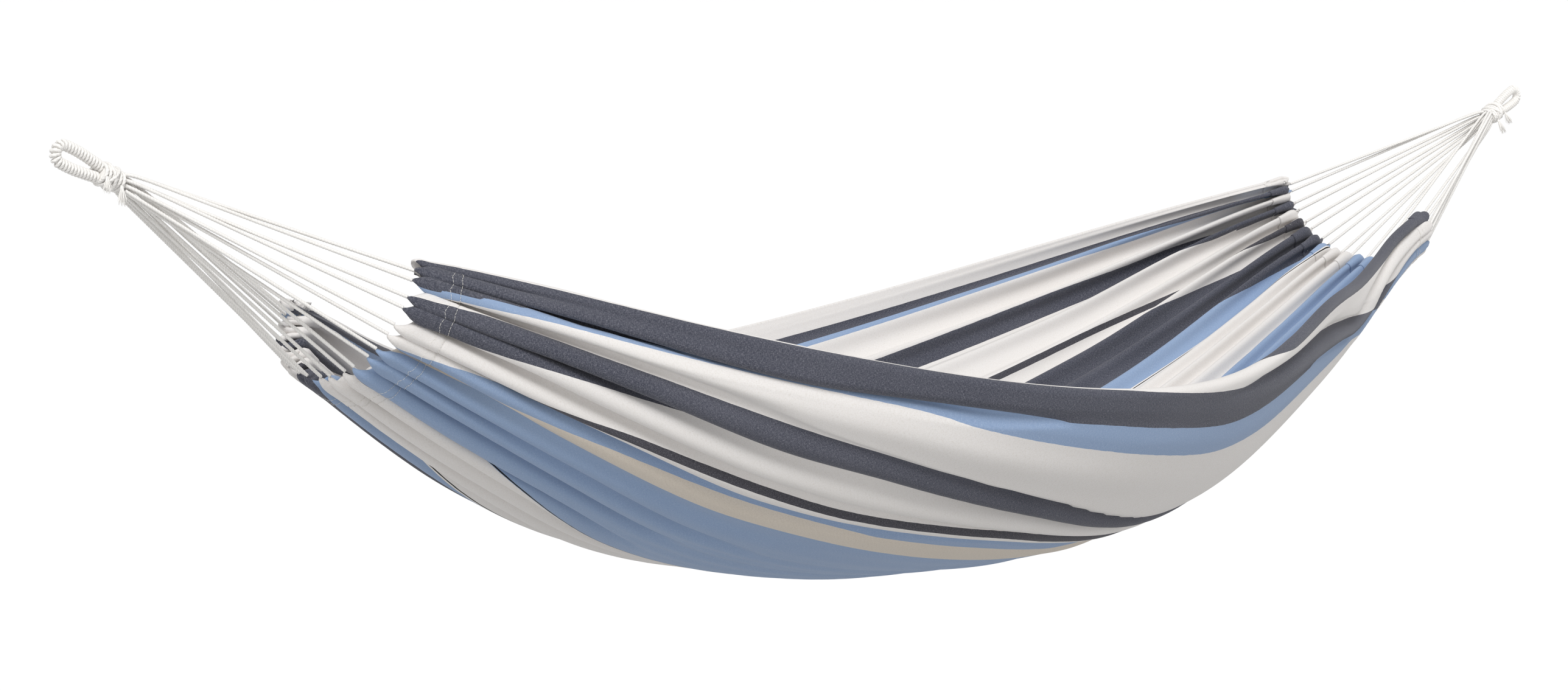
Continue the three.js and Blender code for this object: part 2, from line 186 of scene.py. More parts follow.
CAMERA_AT = (-2.523, -3.700, 0.210)
CAMERA_TURN = 45.04  # degrees from +Y towards +X
CAMERA_DIP = 5.618  # degrees below the horizon
CAMERA_LENS = 87.46  # millimetres on a 36 mm sensor


def add_camera():
    data = bpy.data.cameras.new("camera")
    data.sensor_width = 36
    data.lens = CAMERA_LENS
    data.clip_end = 1000
    camera = bpy.data.objects.new("camera", data)
    camera.location = CAMERA_AT
    camera.rotation_euler = (math.radians(90 - CAMERA_DIP), 0, math.radians(-CAMERA_TURN))
    bpy.context.scene.collection.objects.link(camera)
    bpy.context.scene.camera = camera


add_camera()


# ---------------------------------------------------------------- mesh helpers


def make_mesh(name, vertices, faces, material, smooth_shading=True):
    mesh = bpy.data.meshes.new(name)
    mesh.from_pydata([tuple(p) for p in np.asarray(vertices).tolist()], [], faces)
    mesh.validate()
    mesh.materials.append(material)
    if smooth_shading:
        mesh.shade_smooth()
    obj = bpy.data.objects.new(name, mesh)
    bpy.context.scene.collection.objects.link(obj)
    return obj


def grid_faces(rows, columns, closed_columns=False):
    """Quads of a grid of vertices stored row by row."""
    faces = []
    last = columns if closed_columns else columns - 1
    for i in range(rows - 1):
        for j in range(last):
            k = (j + 1) % columns
            a = i * columns
            b = a + columns
            faces.append((a + j, a + k, b + k, b + j))
    return faces


SPLINE_STEPS = 16


def resample(points, count):
    """Evenly spaced points on a smooth curve through the given ones."""
    points = np.asarray(points, float)
    padded = np.vstack([2 * points[0] - points[1], points, 2 * points[-1] - points[-2]])
    fine = []
    for i in range(len(points) - 1):
        a, b, c, d = padded[i : i + 4]
        for t in np.linspace(0, 1, SPLINE_STEPS, endpoint=False):
            square = (2 * a - 5 * b + 4 * c - d) * t**2
            cube = (3 * b - a - 3 * c + d) * t**3
            fine.append(0.5 * (2 * b + (c - a) * t + square + cube))
    fine.append(points[-1])
    fine = np.array(fine)
    along = np.concatenate([[0], np.cumsum(np.linalg.norm(np.diff(fine, axis=0), axis=1))])
    wanted = np.linspace(0, along[-1], count)
    return np.stack([np.interp(wanted, along, fine[:, k]) for k in range(3)], axis=1)


def path_length(points):
    return float(np.linalg.norm(np.diff(points, axis=0), axis=1).sum())


def path_frames(points):
    """A side and an up direction at each point, carried along without twist."""
    tangents = unit(np.gradient(points, axis=0))
    start = np.array([0.0, 0.0, 1.0]) if abs(tangents[0][2]) < 0.9 else np.array([1.0, 0.0, 0.0])
    side = unit(np.cross(start, tangents[0]))
    sides = [side]
    for tangent in tangents[1:]:
        side = side - tangent * np.dot(side, tangent)
        side = side / np.linalg.norm(side)
        sides.append(side)
    sides = np.array(sides)
    return sides, np.cross(tangents, sides)


# Three strands laid together: the rope's outline as (angle, share of its radius).
STRAND_REACH = 0.30
STRAND_RADIUS = 0.70
ROPE_OUTLINE = []
for lobe in range(3):
    for degrees in (-60, -32, 0, 32):
        turn = math.radians(degrees)
        reach = STRAND_REACH * math.cos(turn)
        reach += math.sqrt(STRAND_RADIUS**2 - (STRAND_REACH * math.sin(turn)) ** 2)
        ROPE_OUTLINE.append((turn + TAU * lobe / 3, reach))


def rope_tube(points, radius, lay, phase=0.0, rings_per_lay=10):
    """Vertices and faces of a three-strand rope along the points."""
    length = path_length(points)
    count = max(8, int(length / lay * rings_per_lay))
    line = resample(points, count)
    sides, ups = path_frames(line)
    along = np.linspace(0, length, count)
    turn = phase + TAU * along / lay
    rings = []
    for angle, reach in ROPE_OUTLINE:
        a = turn + angle
        aside = sides * (radius * reach * np.cos(a))[:, None]
        above = ups * (radius * reach * np.sin(a))[:, None]
        rings.append(line + aside + above)
    columns = len(ROPE_OUTLINE)
    vertices = np.stack(rings, axis=1).reshape(-1, 3)
    faces = grid_faces(count, columns, closed_columns=True)
    faces.append(tuple(range(columns))[::-1])
    faces.append(tuple((count - 1) * columns + k for k in range(columns)))
    return vertices, faces


YARN_SIDES = 5


def yarn_tube(line, radius):
    """Vertices and faces of a plain thin tube; radius is one number or one for each point."""
    sides, ups = path_frames(line)
    radius = np.broadcast_to(radius, len(line))[:, None]
    rings = []
    for k in range(YARN_SIDES):
        angle = TAU * k / YARN_SIDES
        rings.append(line + (sides * math.cos(angle) + ups * math.sin(angle)) * radius)
    vertices = np.stack(rings, axis=1).reshape(-1, 3)
    faces = grid_faces(len(line), YARN_SIDES, closed_columns=True)
    last = (len(line) - 1) * YARN_SIDES
    faces.append(tuple(range(YARN_SIDES))[::-1])
    faces.append(tuple(last + k for k in range(YARN_SIDES)))
    return vertices, faces


def join_parts(parts):
    """Several (vertices, faces) as one."""
    vertices, faces, first = [], [], 0
    for part_vertices, part_faces in parts:
        vertices.append(part_vertices)
        faces.extend(tuple(first + k for k in face) for face in part_faces)
        first += len(part_vertices)
    return np.vstack(vertices), faces


# ---------------------------------------------------------------- materials


class Nodes:
    """A short way to write a node material."""

    def __init__(self, name):
        self.material = bpy.data.materials.new(name)
        self.material.use_nodes = True
        self.tree = self.material.node_tree
        self.shader = self.tree.nodes["Principled BSDF"]

    def add(self, kind, values=(), **settings):
        node = self.tree.nodes.new(kind)
        for key, value in settings.items():
            setattr(node, key, value)
        for key, value in dict(values).items():
            self.put(value, node.inputs[key])
        return node

    def put(self, value, socket):
        if isinstance(value, bpy.types.NodeSocket):
            self.tree.links.new(value, socket)
        else:
            socket.default_value = value

    def math(self, operation, *values):
        node = self.add("ShaderNodeMath", operation=operation)
        for value, socket in zip(values, node.inputs):
            self.put(value, socket)
        return node.outputs[0]

    def noise(self, vector, scale, detail=2.0, roughness=0.5):
        values = {"Vector": vector, "Scale": scale, "Detail": detail, "Roughness": roughness}
        return self.add("ShaderNodeTexNoise", values).outputs["Fac"]

    def stretch(self, vector, x, y, z):
        node = self.add("ShaderNodeVectorMath", operation="MULTIPLY")
        self.put(vector, node.inputs[0])
        node.inputs[1].default_value = (x, y, z)
        return node.outputs[0]

    def remap(self, value, low, high, to_low, to_high):
        values = {"Value": value, "From Min": low, "From Max": high}
        values.update({"To Min": to_low, "To Max": to_high})
        return self.add("ShaderNodeMapRange", values).outputs[0]

    def mix(self, share, a, b):
        """Colour a where the share is 0 and colour b where it is 1."""
        node = self.add("ShaderNodeMix", data_type="RGBA", blend_type="MIX")
        self.put(share, node.inputs[0])
        self.put(a, node.inputs[6])
        self.put(b, node.inputs[7])
        return node.outputs[2]

    def bump(self, height, distance, strength):
        values = {"Height": height, "Distance": distance, "Strength": strength}
        return self.add("ShaderNodeBump", values).outputs[0]


def rgb(r, g, b):
    """A linear colour from 8-bit sRGB values."""

    def linear(c):
        c = c / 255
        return c / 12.92 if c <= 0.04045 else ((c + 0.055) / 1.055) ** 2.4

    return (linear(r), linear(g), linear(b), 1.0)


def cord_material(name, tint, shade):
    """Twisted cotton: fine fibres, darker in the hollows, with a soft sheen."""
    n = Nodes(name)
    place = n.add("ShaderNodeTexCoord").outputs["Object"]
    fibre = n.noise(n.stretch(place, 260, 260, 260), 4.0, detail=3, roughness=0.65)
    patch = n.noise(place, 22.0, detail=2)
    colour = n.mix(n.remap(fibre, 0.35, 0.7, 0.0, 0.32), tint, shade)
    colour = n.mix(n.remap(patch, 0.35, 0.7, 0.0, 0.22), colour, shade)
    n.put(colour, n.shader.inputs["Base Color"])
    n.put(n.remap(fibre, 0.3, 0.7, 0.95, 0.8), n.shader.inputs["Roughness"])
    n.shader.inputs["Specular IOR Level"].default_value = 0.25
    n.shader.inputs["Sheen Weight"].default_value = 0.25
    n.shader.inputs["Sheen Roughness"].default_value = 0.5
    n.put(n.bump(fibre, 0.0006, 0.6), n.shader.inputs["Normal"])
    return n.material


CORD_LIT = rgb(247, 245, 242)
CORD_SHADE = rgb(224, 220, 214)

# The stripes from the front selvage to the back selvage: width in metres and kind.
STRIPES = (
    (0.025, "navy"),
    (0.050, "white"),
    (0.051, "navy"),
    (0.027, "blue"),
    (0.060, "white"),
    (0.053, "navy"),
    (0.089, "white"),
    (0.016, "dark"),
    (0.018, "white"),
    (0.030, "blue"),
    (0.042, "cream"),
    (0.263, "blue"),
    (0.0020, "black"),
    (0.2034, "white"),
    (0.0026, "black"),
    (0.056, "blue"),
    (0.123, "navy"),
    (0.033, "white"),
    (0.015, "dark"),
    (0.105, "white"),
    (0.036, "navy"),
    (0.074, "white"),
    (0.010, "blue"),
    (0.022, "navy"),
    (0.036, "white"),
)
FRONT_FLAP = 0.075  # the strip that is folded inward along the front rim
CLOTH_WIDTH = sum(width for width, kind in STRIPES)
STRIPE_COLOURS = {
    "white": rgb(229, 226, 224),
    "cream": rgb(214, 205, 193),
    "blue": rgb(131, 153, 186),
    "navy": rgb(50, 53, 66),
    "dark": rgb(48, 48, 56),
    "black": rgb(16, 16, 18),
}
# The colour of the fine flecks that mottle each kind. The black lines have none.
FLECK_COLOURS = {
    "white": rgb(208, 202, 195),
    "cream": rgb(184, 172, 156),
    "blue": rgb(166, 184, 208),
    "navy": rgb(130, 130, 139),
    "dark": rgb(116, 114, 120),
}
EDGE_WAVER = 0.0010  # how far the edge of a stripe wanders between threads


def stripe_ramp(n, position, colours):
    """A ramp with one hard-edged stop for each stripe, but for the thin black ones."""
    node = n.add("ShaderNodeValToRGB")
    ramp = node.color_ramp
    ramp.interpolation = "CONSTANT"
    ramp.elements.remove(ramp.elements[1])
    ramp.elements[0].color = colours[STRIPES[0][1]]
    edge = STRIPES[0][0]
    for width, kind in STRIPES[1:]:
        if kind != "black":
            ramp.elements.new(edge / CLOTH_WIDTH).color = colours[kind]
        edge += width
    n.put(position, node.inputs[0])
    return node.outputs["Color"]


def add_pinstripes(n, across, colour):
    """The thin black stripes, which a ramp is too coarse for."""
    edge = 0.0
    for width, kind in STRIPES:
        if kind == "black":
            away = n.math("ABSOLUTE", n.math("SUBTRACT", across, edge + width / 2))
            inside = n.math("LESS_THAN", away, width / 2)
            colour = n.mix(inside, colour, STRIPE_COLOURS["black"])
        edge += width
    return colour


def cloth_material():
    """Plain-woven striped cotton. The weave attribute holds metres across and along the cloth."""
    n = Nodes("striped_cloth")
    weave = n.add("ShaderNodeAttribute", attribute_name="weave").outputs["Vector"]
    parts = n.add("ShaderNodeSeparateXYZ", {"Vector": weave})
    waver = n.noise(n.stretch(weave, 900, 55, 1), 1.0, detail=2)
    across = n.math("MULTIPLY_ADD", n.math("SUBTRACT", waver, 0.5), EDGE_WAVER, parts.outputs["X"])
    position = n.math("DIVIDE", across, CLOTH_WIDTH)
    base = stripe_ramp(n, position, STRIPE_COLOURS)
    fleck = stripe_ramp(n, position, FLECK_COLOURS)
    warp = n.noise(n.stretch(weave, 1500, 300, 1), 1.0, detail=3, roughness=0.7)
    weft = n.noise(n.stretch(weave, 300, 1500, 1), 1.0, detail=3, roughness=0.7)
    warp_flecks = n.remap(warp, 0.40, 0.66, 0, 1)
    weft_flecks = n.remap(weft, 0.40, 0.66, 0, 1)
    heather = n.math("MULTIPLY", warp_flecks, weft_flecks)
    colour = n.mix(n.remap(heather, 0.0, 0.8, 0.04, 0.85), base, fleck)
    slub = n.noise(n.stretch(weave, 90, 900, 1), 1.0, detail=2, roughness=0.6)
    colour = n.mix(n.remap(slub, 0.58, 0.76, 0.0, 0.20), colour, fleck)
    broad = n.noise(weave, 5.0, detail=2)
    colour = n.mix(n.remap(broad, 0.35, 0.7, 0.0, 0.10), colour, fleck)
    colour = add_pinstripes(n, across, colour)
    n.put(colour, n.shader.inputs["Base Color"])
    n.shader.inputs["Roughness"].default_value = 0.92
    n.shader.inputs["Specular IOR Level"].default_value = 0.2
    n.shader.inputs["Sheen Weight"].default_value = 0.15
    n.shader.inputs["Sheen Roughness"].default_value = 0.6
    threads = n.math("ADD", warp, weft)
    n.put(n.bump(threads, 0.0005, 0.5), n.shader.inputs["Normal"])
    return n.material


COTTON = cord_material("cotton_cord", CORD_LIT, CORD_SHADE)
THREAD = cord_material("stitch_thread", rgb(240, 238, 232), rgb(214, 208, 198))
CLOTH = cloth_material()


# ---------------------------------------------------------------- fan cords

CORD_LAY = 0.0115  # one full turn of the three strands
INTO_HEM = 0.004  # how far a cord runs on into the hem
PAST_NECK = 0.0012  # where a cord begins, past the neck's end
NECK_SQUEEZE = 0.84  # the cords close up where they leave the neck
STRAIGHT_FROM = 0.018  # how far a cord runs before it is straight
CORD_POINTS = 24


def sideways(index, side):
    """How far a cord leans to the back, for each metre of its way to the hem."""
    end = hem_point(np.array(hem_share(index)), side)
    reach = end[0] if side == "left" else SPAN - end[0]
    return end[1] / (reach - NECK_REACH)


def bundle_cell(index, side):
    """The column and row that a cord has in the neck, as in the CAD."""
    rows = CORDS_PER_FAN // BUNDLE_COLUMNS
    per_side = 2 * rows
    partner = index + 1 if index % 2 == 0 else index - 1
    mirrored = CORDS_PER_FAN - 1 - index
    if index < per_side:
        outer = sideways(index, side) < sideways(partner, side)
        return (0 if outer else 1), index // 2
    if mirrored < per_side:
        outer = sideways(index, side) > sideways(partner, side)
        return (BUNDLE_COLUMNS - 1 if outer else BUNDLE_COLUMNS - 2), mirrored // 2
    return (BUNDLE_COLUMNS - 1) // 2, index - per_side


def fan_cord_path(index, side):
    """The points of a taut cord from the neck to the hem."""
    column, row = bundle_cell(index, side)
    rows = CORDS_PER_FAN // BUNDLE_COLUMNS
    y = (column - (BUNDLE_COLUMNS - 1) / 2) * BUNDLE_PITCH_Y
    z = ((rows - 1) / 2 - row) * BUNDLE_PITCH_Z
    end = hem_point(np.array(hem_share(index)), side)
    if side == "right":
        end = np.array([SPAN - end[0], end[1], end[2]])
    start = np.array([NECK_REACH + NECK_CLEARANCE, y, z - NECK_DROP])
    along = unit(end - start)
    squeezed = np.array([NECK_REACH + PAST_NECK, y * NECK_SQUEEZE, z * NECK_SQUEEZE - NECK_DROP])
    points = [squeezed, start + along * STRAIGHT_FROM]
    points += [start + (end - start) * share for share in (0.25, 0.5, 0.75)]
    points.append(end + along * INTO_HEM)
    points = np.array(points)
    if side == "right":
        points[:, 0] = SPAN - points[:, 0]
    return points


def add_fan_cords():
    draw = np.random.default_rng(7)
    for side in SIDES:
        for index in range(CORDS_PER_FAN):
            path = fan_cord_path(index, side)
            lay = CORD_LAY * draw.uniform(0.92, 1.1)
            vertices, faces = rope_tube(path, CORD_DIAMETER / 2, lay, phase=draw.uniform(0, TAU))
            number = f"{index + 1:02d}"
            rope = make_mesh(f"fan_cord_{side}_{number}", vertices, faces, COTTON)
            line = resample(path, CORD_POINTS)
            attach(rope, "bed")
            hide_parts(f"{side}_cord_{number}")


add_fan_cords()


# ---------------------------------------------------------------- cloth

FLAT_BED = CLOTH_WIDTH - FRONT_FLAP  # front fold to back selvage, cut flat
FOLD_FLAT = FLAT_BED / CORDS_PER_FAN  # flat cloth in one fold
FOLD_SAMPLES = 22  # columns of the mesh in each fold
CLOTH_THICKNESS = 0.0011
HEM_TURN_IN = 0.066

# One fold of gathered cloth, worked out for many amounts of gathering. The cloth's slope
# swings between plus and minus the bend, in radians, as it crosses a fold. Its crest is broad
# and its crease is narrow, and the flat width of the cloth is kept.
CREASE_SHARPNESS = 0.55
BENDS = np.linspace(0, 2.15, 70)
FOLD_STEPS = np.linspace(0, 1, 97)


def fold_tables():
    """For each bend, a fold's width as a share of the flat cloth, its height and its sideways slide."""
    swing = np.sin(TAU * FOLD_STEPS) * (1 - CREASE_SHARPNESS * np.cos(TAU * FOLD_STEPS))
    swing = swing / np.abs(swing).max()
    slope = BENDS[:, None] * swing[None, :]
    step = FOLD_STEPS[1]

    def running(values):
        pairs = (values[:, 1:] + values[:, :-1]) / 2 * step
        return np.concatenate([np.zeros((len(values), 1)), np.cumsum(pairs, axis=1)], axis=1)

    reach = running(np.cos(slope))
    height = running(-np.sin(slope))
    shares = reach[:, -1]
    slide = reach - FOLD_STEPS[None, :] * shares[:, None]
    return shares, height, slide


FOLD_SHARES, FOLD_HEIGHT, FOLD_SLIDE = fold_tables()


def look_up(table, bend, phase):
    """A value of a fold table at a bend in radians and a phase in folds."""
    row = np.clip(bend / BENDS[1], 0, len(BENDS) - 1.001)
    column = (phase - np.floor(phase)) / FOLD_STEPS[1]
    i = row.astype(int)
    j = np.minimum(column.astype(int), len(FOLD_STEPS) - 2)
    s = row - i
    t = column - j
    low = table[i, j] * (1 - t) + table[i, j + 1] * t
    high = table[i + 1, j] * (1 - t) + table[i + 1, j + 1] * t
    return low * (1 - s) + high * s


FINE_ACROSS = np.linspace(-1, 1, 801)


def widest_run():
    """How far across the flat cloth each point of the widest section lies."""
    section = bed_point(WIDEST_AT, FINE_ACROSS)
    steps = np.linalg.norm(np.diff(section, axis=0), axis=1)
    run = np.concatenate([[0], np.cumsum(steps)])
    return run / run[-1] * FLAT_BED


FLAT_RUN = widest_run()


def fold_phase(v):
    """Counts folds across the bed: a whole number at every cord."""
    x = (v + 1) * CORDS_PER_FAN / 2 - 0.5
    return x - PAIR_SHIFT * np.cos(math.pi * x)


def waves(seed, count, low, high):
    """Frequency, phase, weight and skew of some waves that wander() adds up."""
    draw = np.random.default_rng(seed)
    return [
        (draw.uniform(low, high), draw.uniform(0, TAU), draw.uniform(0.6, 1.0), draw.uniform(-1, 1))
        for _ in range(count)
    ]


AMOUNT_WAVES = waves(3, 5, 2.0, 11.0)
DRIFT_WAVES = waves(5, 5, 1.5, 8.0)
BROAD_WAVES = waves(11, 6, 3.0, 11.0)
SLACK_WAVES = waves(17, 5, 2.0, 9.0)
RIPPLE_WAVES = waves(23, 5, 2.0, 7.0)


def wander(table, u, v):
    """A smooth random field over the cloth, about -1 to 1."""
    total = np.zeros(np.broadcast(u, v).shape)
    for frequency, phase, weight, skew in table:
        total = total + weight * np.sin(frequency * math.pi * v + phase + skew * 5 * u)
    return total / (0.55 * len(table))


# The stripes don't spread evenly round the bed. Each guide follows one line of the cloth: its
# distance from the front fold in the flat cloth, then its place round the bed at each station
# along it, all in millimetres. Some lines run past the rim.
GUIDE_STATIONS = (0.00, 0.07, 0.13, 0.20, 0.26, 0.33, 0.39, 0.45, 0.52, 0.60, 0.75, 0.90, 1.00)
GUIDES = {
    -50: (-67, -67, -67, -67, -67, -67, -65, -52, -15, 0, 0, 0, 0),
    0: (-17, -17, -17, -17, -17, -17, -15, -6, 8, 27, 62, 112, 76),
    51: (74, 66, 63, 53, 40, 36, 36, 45, 62, 66, 82, 142, 116),
    78: (75, 67, 64, 54, 49, 61, 70, 82, 103, 112, 118, 166, 140),
    138: (134, 121, 125, 139, 146, 174, 194, 230, 268, 290, 285, 240, 184),
    191: (195, 188, 187, 190, 190, 204, 223, 256, 298, 320, 315, 280, 228),
    289: (298, 284, 272, 284, 290, 280, 281, 306, 345, 370, 366, 345, 308),
    318: (322, 306, 297, 312, 308, 296, 297, 323, 366, 392, 388, 370, 332),
    395: (402, 380, 378, 390, 384, 388, 395, 405, 430, 450, 450, 432, 402),
    520: (488, 482, 490, 520, 530, 527, 522, 522, 530, 540, 545, 534, 522),
    651: (572, 596, 616, 680, 700, 688, 670, 660, 655, 653, 645, 635, 634),
    859: (826, 835, 857, 874, 878, 870, 862, 859, 859, 858, 849, 840, 838),
    1367: (1367,) * 13,
}
FINE_ALONG = np.linspace(0, 1, 201)


GUIDE_SMOOTHING = 7  # steps of FINE_ALONG to either side
MM_PER_METRE = 1000


def guide_places():
    """Each guide's place along the bed in metres, with the corners smoothed off."""
    window = np.exp(-(np.linspace(-2, 2, 2 * GUIDE_SMOOTHING + 1) ** 2))
    window = window / window.sum()
    places = []
    for row in GUIDES.values():
        fine = np.interp(FINE_ALONG, GUIDE_STATIONS, row) / MM_PER_METRE
        padded = np.pad(fine, GUIDE_SMOOTHING, mode="edge")
        places.append(np.convolve(padded, window, mode="valid"))
    return np.array(places)


GUIDE_FLATS = np.array(list(GUIDES)) / MM_PER_METRE
GUIDE_PLACES = guide_places()


def bed_across(u, v):
    """How far from the front fold of the flat cloth a point lies, in metres."""
    u = np.clip(u, 0, 1)
    place = np.interp(v, FINE_ACROSS, FLAT_RUN)
    rows = [np.interp(u, FINE_ALONG, row) for row in GUIDE_PLACES]
    flat = GUIDE_FLATS[0]
    for low, high, flat_low, flat_high in zip(rows, rows[1:], GUIDE_FLATS, GUIDE_FLATS[1:]):
        flat = flat + (flat_high - flat_low) * np.clip((place - low) / (high - low), 0, 1)
    return flat


def ridge_phase(u, v):
    """Counts folds across the bed: they follow the weave, and meet the cords at both hems."""
    woven = bed_across(u, v) / FOLD_FLAT - 0.5
    at_hem = 1 - smooth(u, 0.0, 0.22) + smooth(u, 0.78, 1.0)
    return woven + (fold_phase(v) - woven) * at_hem


SCALLOP_DEPTH = 0.027
SLACK_BEND = 0.24  # radians
SLACK_BEND_AT_RIM = 0.26
TUCK_BEND = 1.65
TUCK_AT = 0.066  # the tucked line, from the front fold of the flat cloth
TUCK_REACH = 0.026
PUCKER_HEIGHT = 0.0009
PUCKERS_PER_FOLD = 4.0
BROAD_HEIGHT = 0.0035
RIPPLE_HEIGHT = 0.0016
RIPPLES_PER_FOLD = 2.1
FOLD_DRIFT = 0.10  # how far the folds wander, in folds
CREST_LIFT = 0.03
FOLD_DROOP = 0.42  # how far a crest hangs down, for each metre that it stands out
STEP = 0.01  # a small step of v
WIDE_STEP = 0.04
LEAST_WIDTH = 0.05  # metres of bed for each unit of v, so that nothing is divided by zero
LEAST_FLAT = 0.3


def scalloped_u(distance, v, from_hem):
    """The place along the bed, from 0 to 1. The edge hangs back between the cords in scallops."""
    near_rim = smooth(1 - np.abs(v), 0.0, 0.05)
    scallop = SCALLOP_DEPTH * np.abs(np.sin(math.pi * fold_phase(v))) ** 0.85
    scallop *= (1 - smooth(from_hem, -0.005, 0.085)) * (0.35 + 0.65 * near_rim)
    toward = np.where(distance < CLOTH_LENGTH / 2, 1.0, -1.0)
    return (distance + toward * scallop) / CLOTH_LENGTH


def fold_bend(u, v, from_hem, width):
    """How sharply the cloth is folded; width is the bed's own metres for each unit of v."""
    # Fullness: how much wider the flat cloth is than the bed is here.
    folds = ridge_phase(u, v + WIDE_STEP) - ridge_phase(u, v - WIDE_STEP)
    flat = folds * FOLD_FLAT / (2 * WIDE_STEP)
    share = np.clip(width / np.maximum(flat, LEAST_FLAT), 0.3, 1.0)
    bend = np.interp(share, FOLD_SHARES[::-1], BENDS[::-1])
    # Even where the bed is as wide as the cloth, slack leaves soft ridges.
    slack = np.clip(0.5 + 0.8 * wander(SLACK_WAVES, u, v), 0, 1)
    slack = slack * (SLACK_BEND + SLACK_BEND_AT_RIM * smooth(-v, 0.45, 0.8))
    bend = np.sqrt(bend**2 + slack**2)
    amount = 1 + 0.34 * wander(AMOUNT_WAVES, u, v) - 0.34 * smooth(from_hem, 0.04, 0.25)
    bend = bend * np.clip(amount, 0.3, 1.12)
    at_hem = smooth(from_hem, -0.03, 0.03)
    # Under the front rim a deep tuck takes up cloth over the left third of the bed.
    tuck = hump(bed_across(u, v), TUCK_AT, TUCK_REACH) * (1 - smooth(u, 0.14, 0.34))
    return np.maximum(bend * at_hem, TUCK_BEND * tuck * at_hem)


def small_waves(u, v, phase, from_hem, window):
    """The height of the puckers that fan out from the hem, and of the slack across the bed."""
    pucker = np.sin(TAU * PUCKERS_PER_FOLD * phase + 3 * np.sin(1.7 * phase))
    pucker *= (1 - smooth(from_hem, 0.03, 0.20)) * smooth(from_hem, -0.01, 0.02)
    broad = wander(BROAD_WAVES, 1.5 * u, v) * smooth(from_hem, 0.1, 0.6) * window
    ripple = np.sin(TAU * RIPPLES_PER_FOLD * phase + 2 * wander(DRIFT_WAVES, u, v))
    ripple *= np.clip(0.4 + 0.7 * wander(RIPPLE_WAVES, u, v), 0, 1)
    ripple *= window * smooth(from_hem, 0.05, 0.4)
    return PUCKER_HEIGHT * pucker + BROAD_HEIGHT * broad + RIPPLE_HEIGHT * ripple


def cloth_surface(distance, v):
    """A point of the folded cloth: distance along from the left hem edge, and v across."""
    distance, v = np.broadcast_arrays(np.asarray(distance, float), np.asarray(v, float))
    from_hem = np.minimum(distance, CLOTH_LENGTH - distance)
    u = scalloped_u(distance, v, from_hem)
    phase = ridge_phase(u, v)
    across = bed_point(u, v + STEP) - bed_point(u, v - STEP)
    width = np.linalg.norm(across, axis=-1) / (2 * STEP)
    bend = fold_bend(u, v, from_hem, width)
    turn = phase + FOLD_DRIFT * wander(DRIFT_WAVES, u, v) * smooth(from_hem, 0.05, 0.5)
    window = smooth(1 - np.abs(v), 0.0, 0.06)
    crest = FOLD_FLAT * (look_up(FOLD_HEIGHT, bend, turn) + CREST_LIFT * bend) * window
    slide = FOLD_FLAT * look_up(FOLD_SLIDE, bend, turn) * window
    # Gravity pulls the crests down the slope of the bed, so that they hang over.
    width = np.maximum(width, LEAST_WIDTH)
    downhill = -across[..., 2] / (2 * STEP) / width
    slide = slide + FOLD_DROOP * downhill * crest
    v_at = np.clip(v + slide / width, -1, 1)
    height = crest + small_waves(u, v, phase, from_hem, window)
    return bed_point(u, v_at) + bed_normal(u, v_at) * height[..., None]


def cloth_normal(distance, v):
    """Unit normal of the folded cloth, out of the bed."""
    step = 0.002
    d = np.clip(distance, step, CLOTH_LENGTH - step)
    w = np.clip(v, -1 + step, 1 - step)
    along = cloth_surface(d + step, w) - cloth_surface(d - step, w)
    across = cloth_surface(d, w + step) - cloth_surface(d, w - step)
    return unit(np.cross(across, along))


# The turned-in hem, as (distance from the hem's edge, height over the cloth's middle): first the
# inner layer up to the edge, then the outer layer, which swells over the hem cord.
INNER_HEM = (
    (HEM_TURN_IN, -0.0012), (0.062, -0.0013), (0.052, -0.0016), (0.042, -0.0021), (0.032, -0.0028),
    (0.024, -0.0034), (0.016, -0.0038), (0.010, -0.0038), (0.005, -0.0032), (0.0015, -0.0018),
)
OUTER_HEM = (
    (0.0, 0.0), (0.0015, 0.0018), (0.005, 0.0032), (0.010, 0.0038), (0.016, 0.0036),
    (0.022, 0.0030), (0.028, 0.0024), (0.034, 0.0019), (0.040, 0.0015), (0.046, 0.0012),
    (0.052, 0.0010), (0.058, 0.0008), (0.0605, 0.0002), (0.062, -0.0003), (0.0635, 0.0000),
    (0.066, 0.0002), (0.070, 0.0001),
)
PAST_HEM = 0.074  # the first row past the hem; from there the rows grow from short to long
SHORT_ROW = 0.004
LONG_ROW = 0.016
ROW_GROWTH = 0.045


def cloth_rows():
    """Distance and height of each row, from one turned-in hem to the other."""
    turned = list(INNER_HEM + OUTER_HEM)
    middle = []
    at = PAST_HEM
    half = CLOTH_LENGTH / 2
    last_turned = turned[-1][0]
    while at < half:
        middle.append(at)
        at += min(SHORT_ROW + ROW_GROWTH * (at - last_turned), LONG_ROW)
    rows = turned + [(d, 0.0) for d in middle] + [(half, 0.0)]
    rows += [(CLOTH_LENGTH - d, 0.0) for d in reversed(middle)]
    rows += [(CLOTH_LENGTH - d, h) for d, h in reversed(turned)]
    return np.array(rows)


BACK_TURN_OUT = 0.036  # how much of the back edge is turned out at the left end


def stripes_across(u, v):
    """Where in the stripes a point lies, in metres from the front selvage."""
    turned_out = 1 - smooth(u, 0.22, 0.42)
    return FRONT_FLAP + bed_across(u, v) - BACK_TURN_OUT * turned_out * smooth(v, 0.55, 1.0)


